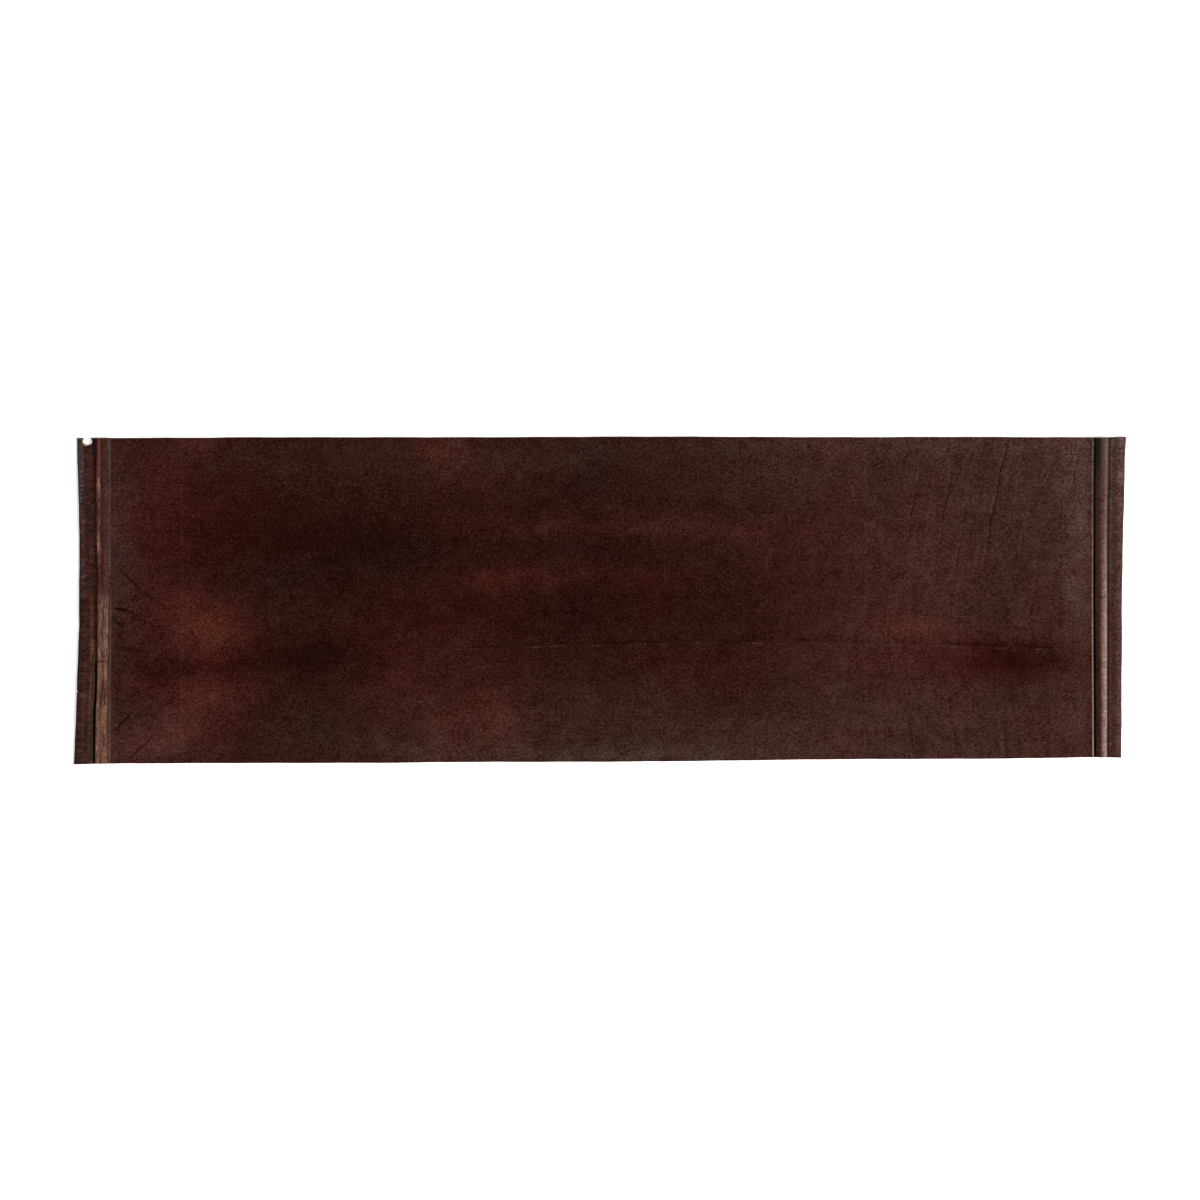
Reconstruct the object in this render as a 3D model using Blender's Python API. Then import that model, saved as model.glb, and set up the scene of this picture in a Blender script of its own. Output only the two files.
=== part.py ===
"""Leather hide: one long cut of dark red-brown cow hide, lying flat.

It is one sheet of even thickness. Each end is creased into a raised roll that runs across the
hide. Between the roll and the main panel is a sharp crease, and beyond the roll is a flap of the
same leather. The backbone shows as a low ridge along the panel, the neck end has bowed wrinkles,
and one corner at the tail end has a torn hole that is open to the edge.

X runs along the back from the tail end to the neck end, Y across the hide, Z up. All sizes are in
metres. The hide lies on z = 0, and the middle of its outline is the origin.
"""

import math
from collections import namedtuple

import bmesh
import bpy
import numpy as np

THICKNESS = 0.0030  # of the leather

# Lines that run across the hide: rows of (y, x), from the near side to the far side.
TAIL_EDGE = [
    (-0.3124, -1.0034),
    (-0.2099, -0.9996),
    (-0.1183, -0.9962),
    (-0.0267, -0.9931),
    (0.0305, -0.9939),
    (0.1050, -0.9927),
    (0.1794, -0.9943),
    (0.2557, -0.9963),
    (0.3099, -0.9973),
]
TAIL_CREASE = [(-0.3124, -0.9658), (-0.1145, -0.9622), (0.0382, -0.9607), (0.1908, -0.9622), (0.3099, -0.9634)]
TAIL_FOOT = [(-0.3124, -0.9328), (0.0000, -0.9313), (0.3099, -0.9309)]
NECK_SHOULDER = [(-0.2987, 0.9077), (0.3111, 0.9077)]
NECK_CREASE = [(-0.2987, 0.9454), (0.0000, 0.9450), (0.3111, 0.9447)]
NECK_GAP = [(-0.2987, 0.9698), (0.0000, 0.9710), (0.3111, 0.9721)]
NECK_EDGE = [
    (-0.2992, 0.9939),
    (-0.2099, 0.9943),
    (-0.0725, 0.9950),
    (0.0649, 0.9962),
    (0.1565, 0.9985),
    (0.2557, 1.0004),
    (0.3122, 1.0034),
]

# Lines that run along the hide: rows of (x, y), from the tail to the neck.
FAR_EDGE = [
    (-0.9973, 0.3099),
    (-0.7622, 0.3103),
    (-0.5332, 0.3116),
    (-0.3042, 0.3111),
    (0.0011, 0.3122),
    (0.3065, 0.3118),
    (0.4592, 0.3111),
    (0.6118, 0.3120),
    (0.9363, 0.3109),
    (1.0034, 0.3124),
]
NEAR_EDGE = [
    (-1.0034, -0.3124),
    (-0.9492, -0.3107),
    (-0.6859, -0.3099),
    (-0.3805, -0.3094),
    (-0.2279, -0.3074),
    (0.0011, -0.3076),
    (0.2302, -0.3056),
    (0.4592, -0.3027),
    (0.7645, -0.3013),
    (0.9439, -0.2987),
    (0.9939, -0.2992),
]
BACKBONE = [
    (-1.0008, -0.1307),
    (-0.6668, -0.1145),
    (-0.2469, -0.0935),
    (0.0011, -0.0859),
    (0.2302, -0.0821),
    (0.5737, -0.0859),
    (0.8981, -0.0954),
    (0.9954, -0.0973),
]

# Sections of the end folds: rows of (share of the way between two lines, lift of the underside).
TAIL_FLAP = [(0.00, 0.0008), (0.12, 0.0017), (0.30, 0.0020), (0.50, 0.0008), (0.72, 0.0003), (0.90, 0.0012)]
TAIL_ROLL = [
    (0.00, 0.0000),
    (0.06, 0.0012),
    (0.12, 0.0038),
    (0.20, 0.0054),
    (0.38, 0.0050),
    (0.60, 0.0056),
    (0.76, 0.0048),
    (0.88, 0.0022),
]
NECK_LIP = [(0.00, 0.0003), (0.51, 0.0013), (0.76, 0.0027), (0.89, 0.0036), (0.955, 0.0024)]
NECK_ROLL = [
    (0.00, 0.0000),
    (0.07, 0.0008),
    (0.15, 0.0036),
    (0.30, 0.0066),
    (0.48, 0.0086),
    (0.63, 0.0090),
    (0.78, 0.0079),
    (0.90, 0.0046),
]
NECK_FLAP = [(0.00, 0.0008), (0.12, 0.0022), (0.38, 0.0012), (0.70, 0.0024), (0.90, 0.0022), (1.00, 0.0014)]

# The rolls are uneven: rows of (share of the height, length of the wave, phase).
ROLL_WAVES = [(0.05, 0.31, 0.8), (0.03, 0.11, 2.1)]

# The panel between the end folds.
PANEL_FOOT_LIFT = 0.0006  # where the tail roll comes down to the panel
PANEL_FOOT_WIDTH = 0.014  # over which that lift dies out
PANEL_STEP = 0.070  # between the plain stations
PANEL_FROM = -0.880  # first and last plain station
PANEL_TO = 0.510
NECK_STATIONS = [0.545, 0.825, 0.860, 0.885]

# Neck wrinkles: rows of (x at the backbone, y at one end, y at the other end, depth).
WRINKLES = [
    (0.571, 0.044, 0.281, 0.0010),
    (0.571, -0.320, -0.220, 0.0006),
    (0.627, 0.040, 0.285, 0.0011),
    (0.663, 0.020, 0.180, 0.0010),
    (0.663, -0.320, -0.170, 0.0010),
    (0.719, 0.030, 0.330, 0.0014),
    (0.755, -0.320, -0.215, 0.0009),
    (0.782, 0.070, 0.150, 0.0008),
    (0.782, -0.265, -0.195, 0.0009),
]
WRINKLE_HALF_WIDTH = 0.005

# The wrinkles bow round the neck: away from the backbone they lie nearer to the neck end.
BOW = 0.057
BOW_HALF_SPAN = 0.384
BOW_POWER = 1.5
BOW_RAMP = [(0.480, 0.0), (0.566, 1.0), (0.800, 1.0), (0.9077, 0.0)]  # rows of (x, share of BOW)

# The backbone's ridge.
RIDGE_HEIGHT = 0.0009
RIDGE_FADE = [(-0.40, 0.0), (-0.15, 1.0), (0.80, 1.0), (0.91, 0.0)]  # rows of (x, share of the height)

# Lines along the hide: 0 is the backbone, -1 the near edge and 1 the far edge.
NEAR_SHARES = [1.0, 0.95, 0.82, 0.66, 0.50, 0.34, 0.18, 0.036]
FAR_SHARES = [0.02, 0.10, 0.20, 0.30, 0.40, 0.50, 0.60, 0.70, 0.80, 0.90, 0.97, 1.0]

# The torn hole in the corner at the tail end.
HOLE_CENTRE = (-0.9767, 0.3034)
HOLE_RADIUS = 0.0080
HOLE_SIDES = 28
HOLE_LOBES = [(0.06, 2, 0.6), (0.035, 5, 1.9)]  # rows of (share of the radius, lobes, phase)
CUTTER_HEIGHT = 0.040

LEATHER_COLOUR = (0.072, 0.030, 0.024, 1.0)
LEATHER_ROUGHNESS = 0.5

Station = namedtuple("Station", "start end share lift on_roll wrinkles")


def look_up(rows, at):
    """The second column of the rows where the first column is at."""
    first, second = zip(*rows)
    return float(np.interp(at, first, second))


def bow(x, y):
    """How far a line across the neck lies towards the neck end at y, for a line that starts at x."""
    away = abs(y - look_up(BACKBONE, x)) / BOW_HALF_SPAN
    return BOW * look_up(BOW_RAMP, x) * away**BOW_POWER


def fold_stations(start, end, section, on_roll):
    """The stations of one end fold, from the line start to the line end."""
    return [Station(start, end, share, lift, on_roll, ()) for share, lift in section]


def panel_station(x, wrinkles=()):
    """A station of the panel at x, between the tail roll's foot and the neck shoulder."""
    foot = look_up(TAIL_FOOT, 0.0)
    share = (x - foot) / (look_up(NECK_SHOULDER, 0.0) - foot)
    lift = PANEL_FOOT_LIFT * max(0.0, 1.0 - (x - foot) / PANEL_FOOT_WIDTH)
    return Station(TAIL_FOOT, NECK_SHOULDER, share, lift, False, tuple(wrinkles))


def panel_stations():
    """The panel's stations: an even run of plain ones, and three for each neck wrinkle."""
    foot = look_up(TAIL_FOOT, 0.0)
    plain = [foot, foot + PANEL_FOOT_WIDTH]
    plain += list(np.linspace(PANEL_FROM, PANEL_TO, round((PANEL_TO - PANEL_FROM) / PANEL_STEP) + 1))
    plain += NECK_STATIONS
    stations = [panel_station(x) for x in plain]
    for x in sorted({row[0] for row in WRINKLES}):
        stations.append(panel_station(x - WRINKLE_HALF_WIDTH))
        stations.append(panel_station(x, [row for row in WRINKLES if row[0] == x]))
        stations.append(panel_station(x + WRINKLE_HALF_WIDTH))
    return sorted(stations, key=lambda station: station.share)


def all_stations():
    """The stations along the hide, from the tail edge to the neck edge."""
    stations = fold_stations(TAIL_EDGE, TAIL_CREASE, TAIL_FLAP, False)
    stations += fold_stations(TAIL_CREASE, TAIL_FOOT, TAIL_ROLL, True)
    stations += panel_stations()
    stations += fold_stations(NECK_SHOULDER, NECK_CREASE, NECK_LIP, False)
    stations += fold_stations(NECK_CREASE, NECK_GAP, NECK_ROLL, True)
    stations += fold_stations(NECK_GAP, NECK_EDGE, NECK_FLAP, False)
    return stations


def x_of(station, y):
    start = look_up(station.start, y)
    end = look_up(station.end, y)
    x = start + station.share * (end - start)
    return x + bow(x, y)


def y_of(side, x):
    backbone = look_up(BACKBONE, x)
    edge = look_up(FAR_EDGE if side > 0 else NEAR_EDGE, x)
    return backbone + abs(side) * (edge - backbone)


def place(station, side):
    """Where a station crosses a line along the hide, as (x, y)."""
    x, y = x_of(station, 0.0), 0.0
    for _ in range(4):
        y = y_of(side, x)
        x = x_of(station, y)
    return x, y


def swell(y):
    """The height of a roll at y, as a share of its mean."""
    return 1.0 + sum(share * math.sin(math.tau * y / wave + phase) for share, wave, phase in ROLL_WAVES)


def underside(station, y):
    return station.lift * (swell(y) if station.on_roll else 1.0)


def relief(station, side, x, y):
    """What the backbone's ridge and the wrinkles add to the thickness."""
    raised = RIDGE_HEIGHT * look_up(RIDGE_FADE, x) if side == 0 else 0.0
    for _, low, high, depth in station.wrinkles:
        along = (y - low) / (high - low)
        if 0.0 < along < 1.0:
            raised -= depth * math.sin(math.pi * along)
    return raised


def hide_mesh():
    """The hide's mesh: a grid laid on its stations and lines, then given the leather's thickness."""
    stations = all_stations()
    sides = [-share for share in NEAR_SHARES] + [0.0] + FAR_SHARES
    columns, rows = len(stations) - 1, len(sides) - 1
    bm = bmesh.new()
    bmesh.ops.create_grid(bm, x_segments=columns, y_segments=rows, size=1.0)
    cell = {
        v: (round((v.co.x + 1) / 2 * columns), round((v.co.y + 1) / 2 * rows)) for v in bm.verts
    }
    raised = bmesh.ops.extrude_face_region(bm, geom=bm.faces[:])["geom"]
    upper = [item for item in raised if isinstance(item, bmesh.types.BMVert)]
    for v in upper:
        cell[v] = (round((v.co.x + 1) / 2 * columns), round((v.co.y + 1) / 2 * rows))
    is_upper = set(upper)
    for v in bm.verts:
        column, row = cell[v]
        station, side = stations[column], sides[row]
        x, y = place(station, side)
        z = underside(station, y)
        if v in is_upper:
            z += THICKNESS + relief(station, side, x, y)
        v.co = (x, y, z)
    bmesh.ops.recalc_face_normals(bm, faces=bm.faces[:])
    mesh = bpy.data.meshes.new("leather_hide")
    bm.to_mesh(mesh)
    bm.free()
    mesh.shade_smooth()
    mesh.set_sharp_from_angle(angle=math.radians(50.0))
    return mesh


def hole_cutter_mesh():
    """A slightly uneven round bar that stands through the corner."""
    bm = bmesh.new()
    bmesh.ops.create_cone(
        bm,
        cap_ends=True,
        segments=HOLE_SIDES,
        radius1=HOLE_RADIUS,
        radius2=HOLE_RADIUS,
        depth=CUTTER_HEIGHT,
    )
    for v in bm.verts:
        around = math.atan2(v.co.y, v.co.x)
        stretch = 1.0 + sum(share * math.cos(lobes * around + phase) for share, lobes, phase in HOLE_LOBES)
        v.co.x = HOLE_CENTRE[0] + stretch * v.co.x
        v.co.y = HOLE_CENTRE[1] + stretch * v.co.y
    mesh = bpy.data.meshes.new("hole_cutter")
    bm.to_mesh(mesh)
    bm.free()
    return mesh


def leather():
    material = bpy.data.materials.new("worn_leather")
    material.use_nodes = True
    shader = material.node_tree.nodes["Principled BSDF"]
    shader.inputs["Base Color"].default_value = LEATHER_COLOUR
    shader.inputs["Roughness"].default_value = LEATHER_ROUGHNESS
    shader.inputs["Metallic"].default_value = 0.0
    return material


def new_collection(name):
    collection = bpy.data.collections.new(name)
    bpy.context.scene.collection.children.link(collection)
    return collection


def main():
    for obj in list(bpy.data.objects):
        bpy.data.objects.remove(obj, do_unlink=True)

    parts = new_collection("leather_hide_parts")
    cutters = new_collection("cutters")
    cutters.hide_render = True

    hide = bpy.data.objects.new("leather_hide", hide_mesh())
    hide.data.materials.append(leather())
    parts.objects.link(hide)

    cutter = bpy.data.objects.new("hole_cutter", hole_cutter_mesh())
    cutter.hide_render = True
    cutter.display_type = "WIRE"
    cutters.objects.link(cutter)

    hole = hide.modifiers.new("corner_hole", "BOOLEAN")
    hole.operation = "DIFFERENCE"
    hole.solver = "EXACT"
    hole.object = cutter


main()
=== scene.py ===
"""Leather hide: the worn, dark red-brown cow hide laid flat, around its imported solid.

The hide is one sheet. Its outline, end folds, neck wrinkles and backbone follow the solid's, on a
finer mesh. The tail end lies at -X, the neck end at +X, and the backbone runs along X.
"""

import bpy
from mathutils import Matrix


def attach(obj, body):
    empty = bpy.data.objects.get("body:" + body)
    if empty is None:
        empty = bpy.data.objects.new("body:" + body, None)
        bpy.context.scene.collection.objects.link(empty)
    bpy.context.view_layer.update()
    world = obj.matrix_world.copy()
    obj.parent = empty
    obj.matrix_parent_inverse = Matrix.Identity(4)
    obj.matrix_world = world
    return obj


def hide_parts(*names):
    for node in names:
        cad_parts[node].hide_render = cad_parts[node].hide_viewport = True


bl_info = {
    "name": "Leather hide",
    "version": (1, 0, 0),
    "blender": (4, 5, 0),
    "location": "View3D > Sidebar > Hide",
    "description": "Lays out a worn leather hide and the studio around it",
    "category": "Object",
}

import math

import bmesh
import bpy
import numpy as np
from bpy.props import FloatProperty, FloatVectorProperty, PointerProperty
from mathutils import Matrix, Vector

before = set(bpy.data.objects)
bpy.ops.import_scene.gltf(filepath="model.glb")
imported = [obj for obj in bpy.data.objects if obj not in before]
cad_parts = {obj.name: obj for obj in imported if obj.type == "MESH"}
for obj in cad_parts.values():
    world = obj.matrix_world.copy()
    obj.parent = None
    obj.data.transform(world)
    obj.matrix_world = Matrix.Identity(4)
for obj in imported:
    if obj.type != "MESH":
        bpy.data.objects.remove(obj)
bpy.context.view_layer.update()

NODE = "leather_hide"

# ---- The cut of the hide, in metres. Lines across the hide: rows of (y, x), near side to far side.

TAIL_EDGE = [
    (-0.3139, -1.0028), (-0.23, -0.9998), (-0.1536, -0.9968), (-0.1155, -0.9956), (-0.0773, -0.9946),
    (-0.0391, -0.9929), (0.0372, -0.9931), (0.1136, -0.9925), (0.1517, -0.9931), (0.209, -0.9949),
    (0.2662, -0.9962), (0.3091, -0.9972),
]
TAIL_CREASE = [
    (-0.3139, -0.9648), (-0.23, -0.964), (-0.154, -0.9606), (0.0382, -0.9604), (0.1908, -0.9622),
    (0.3091, -0.9634),
]
TAIL_FOOT = [(-0.3124, -0.9328), (0.0, -0.9313), (0.3099, -0.9309)]
NECK_SHOULDER = [(-0.2987, 0.9077), (0.3111, 0.9077)]
NECK_CREASE = [(-0.2987, 0.9456), (-0.15, 0.9449), (0.0, 0.9441), (0.15, 0.9441), (0.3111, 0.9447)]
NECK_GAP = [
    (-0.2987, 0.9702), (0.0, 0.9706), (0.15, 0.9706), (0.23, 0.9722), (0.3111, 0.9736),
]
NECK_EDGE = [
    (-0.301, 0.9963), (-0.2109, 0.9966), (-0.1536, 0.997), (-0.0773, 0.9974), (-0.001, 0.9976),
    (0.0563, 0.9982), (0.1136, 0.9995), (0.1517, 1.0005), (0.209, 1.0018), (0.2786, 1.0038),
    (0.3115, 1.0054),
]

# Lines along the hide: rows of (x, y), tail to neck.
FAR_EDGE = [
    (-0.9973, 0.3091), (-0.8567, 0.3095), (-0.7612, 0.3098), (-0.6658, 0.3107), (-0.2842, 0.3107),
    (0.0975, 0.3119), (0.4792, 0.3108), (0.67, 0.3114), (0.941, 0.3105), (1.0054, 0.3115),
]
NEAR_EDGE = [
    (-1.0028, -0.3139), (-0.9521, -0.3127), (-0.7612, -0.3117), (-0.3796, -0.3109), (-0.2842, -0.3096),
    (0.0021, -0.309), (0.193, -0.3074), (0.4792, -0.3041), (0.7655, -0.303), (0.8609, -0.3016),
    (0.941, -0.3004), (0.9963, -0.301),
]
BACKBONE = [
    (-1.0008, -0.1307), (-0.6668, -0.1145), (-0.2469, -0.0935), (0.0011, -0.0859), (0.2302, -0.0821),
    (0.5737, -0.0859), (0.8981, -0.0954), (0.9954, -0.0973),
]

# Sections of the end folds: rows of (fold place, lift of the underside). A fold place counts
# lines passed: at the tail 0 is the edge, 1 the crease and 2 the roll's foot; at the neck 0 is
# the shoulder, 1 the crease, 2 the gap and 3 the edge.
TAIL_SECTION = [
    (0.0, 0.0003), (0.12, 0.0014), (0.3, 0.002), (0.5, 0.0008), (0.72, 0.0003), (0.9, 0.0012),
    (0.97, 0.001), (1.0, 0.0), (1.033, 0.0024), (1.066, 0.0046), (1.1, 0.0053), (1.15, 0.0054),
    (1.38, 0.005), (1.58, 0.0055), (1.74, 0.0046), (1.88, 0.003), (2.02, 0.0013), (2.2, 0.0004),
    (2.45, 0.0),
]
# Past the cut in its crest the tail roll is softer and rises from the flap without a groove.
FAR_TAIL_SECTION = [
    (0.0, 0.0003), (0.12, 0.0012), (0.3, 0.002), (0.5, 0.0017), (0.72, 0.0016), (0.9, 0.002),
    (1.0, 0.0028), (1.1, 0.0044), (1.2, 0.0052), (1.3, 0.005), (1.42, 0.0046), (1.58, 0.005),
    (1.74, 0.0044), (1.88, 0.0029), (2.02, 0.0012), (2.2, 0.0004), (2.45, 0.0),
]
FAR_SIDE_FROM, FAR_SIDE_TO = -0.128, -0.098
PAST_FOOT_STEP = 0.031  # metres past the tail roll's foot that count as one more fold place
NECK_SECTION = [
    (0.0, 0.0003), (0.51, 0.0013), (0.76, 0.0027), (0.89, 0.0036), (0.955, 0.0024), (1.0, 0.0),
    (1.07, 0.0008), (1.15, 0.0036), (1.3, 0.0066), (1.48, 0.0086), (1.63, 0.009), (1.78, 0.0079),
    (1.9, 0.0046), (2.0, 0.0005), (2.06, 0.0007), (2.14, 0.0014), (2.38, 0.0012), (2.7, 0.0024),
    (2.9, 0.0022), (3.0, 0.0014),
]

# The rolls are uneven: rows of (share of the height, length of the wave, phase).
ROLL_WAVES = [(0.05, 0.31, 0.8), (0.03, 0.11, 2.1)]

# The wrinkles bow round the neck: away from the backbone they lie nearer to the neck end.
BOW = 0.057
BOW_HALF_SPAN = 0.384
BOW_POWER = 1.5
BOW_RAMP = [(0.48, 0.0), (0.566, 1.0), (0.8, 1.0), (0.9077, 0.0)]  # rows of (x, share of BOW)

# Neck wrinkles: rows of (x at the backbone, y at one end, y at the other end, depth).
WRINKLES = [
    (0.566, 0.04, 0.285, 0.0011),
    (0.576, -0.32, -0.22, 0.0006),
    (0.627, 0.04, 0.29, 0.0012),
    (0.667, 0.02, 0.19, 0.0011),
    (0.66, -0.325, -0.17, 0.0011),
    (0.719, 0.03, 0.34, 0.0016),
    (0.755, -0.325, -0.215, 0.001),
    (0.784, 0.075, 0.145, 0.0009),
    (0.78, -0.265, -0.2, 0.001),
]
WRINKLE_HALF_WIDTH = 0.0045
# The rest of a wrinkle's depth is painted in the finish: a fine line of painted shade with a painted
# highlight on its tail side.
TROUGH_SHARE = 0.35  # of a wrinkle's depth, in the mesh; the rest is a fine line in the finish
LIP_SHARE, LIP_OFFSET = 0.35, 2.2  # of the trough's depth, and in half widths from its middle
WRINKLE_SWAY, SWAY_LENGTH, SWAY_SHIFT = 0.0012, 0.09, 9  # each wrinkle's own small waves
WRINKLE_FADE = 0.7  # the power that keeps a wrinkle deep until near its ends
FULL_LINE_DEPTH = 0.0014  # wrinkles as deep as this have their full line in the finish

# The backbone: a low ridge with a shallow furrow on its far side.
RIDGE_HEIGHT = 0.0003
RIDGE_HALF_WIDTH = 0.0055
FURROW_DEPTH = 0.0002
FURROW_OFFSET = 0.01
RIDGE_FADE = [(-0.4, 0.0), (-0.15, 1.0), (0.8, 1.0), (0.91, 0.0)]  # rows of (x, share of the height)

# The sheet is never quite flat: rows of (height, x turns a metre, y turns a metre, phase).
SHEET_WAVES = [
    (0.00022, 2.3, 3.7, 0.4),
    (0.00018, -3.9, 5.3, 1.7),
    (0.00012, 9.1, 4.6, 2.6),
    (0.0001, -7.7, 11.3, 4.1),
]
# The cut edges wander: rows of (size, turns a metre, phase). The near edge and the ends follow
# the same waves from another place, and the ends follow them more.
EDGE_WAVES = [(0.00018, 7.0, 0.3), (0.00009, 17.0, 1.9), (0.00005, 43.0, 4.0)]
NEAR_SHIFT, END_SHIFT, END_GAIN = 0.37, 0.11, 1.6

# The small notch in the tail edge.
NICK_CENTRE = (-0.9975, -0.174)
NICK_RADIUS = 0.0026

# The torn hole in the corner at the tail end. Its lobes: rows of (share of the radius, lobes, phase).
HOLE_CENTRE = (-0.9767, 0.3034)
HOLE_RADIUS = 0.008
HOLE_SIDES = 64
HOLE_LOBES = [(0.06, 2, 0.6), (0.035, 5, 1.9), (0.02, 11, 0.4), (0.012, 17, 2.2)]
CUTTER_HEIGHT = 0.04

# Columns of the mesh: rows of (start line, end line, first share, last share, columns).
ZONES = [
    (TAIL_EDGE, TAIL_CREASE, 0.0, 1.0, 24),
    (TAIL_CREASE, TAIL_FOOT, 0.0, 1.0, 30),
    (TAIL_FOOT, NECK_SHOULDER, 0.0, 0.06, 36),
    (TAIL_FOOT, NECK_SHOULDER, 0.06, 0.767, 150),
    (TAIL_FOOT, NECK_SHOULDER, 0.767, 1.0, 160),
    (NECK_SHOULDER, NECK_CREASE, 0.0, 1.0, 34),
    (NECK_CREASE, NECK_GAP, 0.0, 1.0, 30),
    (NECK_GAP, NECK_EDGE, 0.0, 1.0, 22),
]
# Rows of the mesh lie closer near the backbone and the edges: distances from each, in metres.
NEAR_BACKBONE = [0.001, 0.0025, 0.0045, 0.007, 0.01, 0.014]
NEAR_RIM = [0.0, 0.0006, 0.0016, 0.0036, 0.007]
ROW_STEP = 0.0086
HALF_WIDTHS = (0.2215, 0.398)  # from the backbone to the near edge and to the far edge

RIM_ROUNDING = 0.0007  # how far the grain surface falls at a cut edge
RIM_REACH = 0.003
SHARP_ANGLE = math.radians(55.0)
EDGE_PASSES, BOW_PASSES = 5, 8  # enough for each to settle

# Tone over the hide: rows of (x, y, half length and half width in millimetres, tone), and the
# degrees it is turned, if any. Tone 0 is plain red-brown, -1 deep brown and 1 light red-brown.
TONE_PATCHES = [
    (820, -120, 50, 30, 0.1), (520, 280, 280, 35, -0.13), (900, 120, 35, 50, -0.2),
    (320, 125, 120, 28, 0.14), (80, 128, 50, 18, 0.18), (-740, -105, 55, 35, 0.24),
    (-190, -195, 70, 28, 0.18), (155, -200, 30, 28, 0.18), (560, -115, 60, 20, 0.14),
    (-440, 45, 40, 18, 0.26), (-590, 15, 40, 22, -0.2), (-50, -8, 60, 18, -0.14),
    # the whole neck half, and the tail end, lighter
    (800, 0, 460, 600, 0.5), (-860, 0, 160, 500, 0.3),
    # the dark middle of the far side, which runs out along the back as a band
    (-500, 92, 200, 100, -0.95), (-380, 95, 80, 55, -0.5), (-366, 137, 20, 18, -0.2),
    (-292, 137, 22, 20, 0.3), (-515, 255, 30, 50, -0.3), (-605, 40, 45, 25, -0.35),
    (-400, 23, 40, 18, 0.42), (-20, 97, 210, 22, -0.75, -1), (-552, 286, 60, 50, -0.4),
    (0, 139, 300, 22, 0.46), (-113, 42, 200, 22, 0.38), (-205, 34, 45, 22, 0.45),
    (-340, 10, 65, 25, 0.36), (-247, -95, 170, 110, 0.22), (-30, -55, 135, 75, -0.55),
    (230, -15, 90, 70, -0.32), (229, -40, 30, 26, -0.18), (-70, -15, 65, 18, -0.28),
    (110, 25, 50, 18, 0.28), (130, 100, 70, 14, 0.28), (215, 180, 28, 18, -0.25),
    (30, 0, 200, 60, -0.2), (300, 75, 45, 35, 0.2), (230, -135, 40, 30, 0.22),
    # the light patch by the tail, and the dark band and blotch along the backbone below it
    (-752, -50, 62, 48, 1.1), (-670, -55, 30, 30, 0.22), (-804, 0, 40, 35, 0.45),
    (-781, -130, 170, 17, -0.62, 3), (-735, -123, 50, 20, 0.38), (-533, -105, 78, 30, -1.2),
    (-753, -177, 80, 30, 0.65), (-804, -233, 60, 35, 0.7, 35), (-722, -232, 45, 35, 0.3),
    (-860, -280, 90, 30, 0.65, 10), (-560, -225, 65, 80, -0.5), (-300, -235, 90, 75, 0.45),
    (-290, -285, 40, 30, 0.3), (-180, -260, 60, 50, 0.26), (-366, -244, 22, 22, -0.22),
    (-440, -170, 50, 25, 0.25), (-209, -233, 60, 50, 0.4),
    # along the far edge
    (-861, 219, 60, 60, 0.18), (-911, 153, 20, 40, 0.3), (-813, 200, 28, 40, 0.2),
    (-625, 180, 50, 22, 0.26), (-180, 272, 55, 30, 0.2), (-766, 302, 40, 20, 0.5),
    (-304, 280, 50, 32, 0.65, -45), (-340, 210, 70, 40, 0.28), (-27, 229, 100, 90, -0.5),
    (173, 248, 170, 50, -0.3), (221, 176, 100, 14, -0.4),
    # the neck
    (450, 285, 100, 35, 0.35), (608, -50, 70, 22, 0.5), (500, -30, 70, 50, 0.2),
    (480, -120, 70, 30, 0.3), (420, -265, 80, 35, 0.3), (765, 0, 60, 270, -0.3),
    (889, 290, 40, 30, 0.2), (911, 60, 20, 160, 0.22), (860, 175, 85, 70, -0.24),
    (750, 215, 30, 30, -0.2), (670, 85, 90, 32, 0.22), (560, 61, 40, 20, 0.16),
    (850, -110, 100, 26, -0.6), (908, -229, 20, 90, 0.2), (934, 40, 14, 420, 0.42),
    # beside the tail roll
    (-925, -60, 12, 130, -0.45),
]
# Grey bloom on the surface, partly a painted sheen where the key light catches the grain: the same
# columns, with its strength in place of the tone.
BLOOM_AND_SHEEN_PATCHES = [
    (830, -115, 55, 32, 0.11), (-500, 115, 220, 50, -0.11), (-560, -100, 110, 35, -0.11),
    (-240, -20, 160, 50, -0.07), (-10, -10, 90, 40, -0.05), (40, 100, 100, 30, -0.05),
    (590, -55, 130, 50, 0.19), (835, -75, 80, 45, 0.16), (420, -125, 80, 60, 0.11),
    (500, 255, 200, 35, 0.1), (-370, -200, 120, 30, 0.08), (-700, 170, 100, 80, -0.06),
    (730, 90, 60, 50, -0.09), (720, -290, 100, 16, 0.14), (760, 150, 300, 230, 0.42),
    (860, 250, 120, 60, 0.22), (920, 160, 45, 160, 0.7), (925, 290, 30, 40, 0.5),
    (925, 30, 24, 420, 0.35), (905, 0, 30, 60, 0.25), (910, -225, 80, 70, 0.25),
    (580, 297, 380, 20, 0.4), (320, 250, 110, 70, 0.2), (230, 229, 140, 100, 0.08),
    (631, -222, 300, 68, 0.36), (550, -292, 480, 20, 0.3), (77, -258, 450, 50, 0.38),
    (40, -298, 260, 14, 0.75), (20, -185, 140, 35, 0.22), (-400, -285, 110, 30, 0.35),
    (-570, -240, 80, 60, 0.12), (-860, -248, 100, 50, 0.25), (-850, -295, 110, 16, 0.3),
    (-228, 277, 500, 45, 0.22), (-915, 76, 30, 200, 0.35), (790, -110, 120, 45, -0.4),
]
# Where the dye is redder: the same columns, with the share of the green and blue that it takes.
RED_PATCHES = [
    (30, -5, 200, 65, 0.5), (-400, -10, 110, 60, 0.35), (-750, 130, 110, 90, 0.3),
    (-720, 90, 50, 40, 0.15), (-780, -130, 180, 26, 0.45, 3), (-533, -105, 90, 40, 0.2),
    (850, -110, 110, 36, 0.28), (-930, 150, 60, 120, 0.1), (700, -75, 180, 35, 0.3),
]
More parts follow.
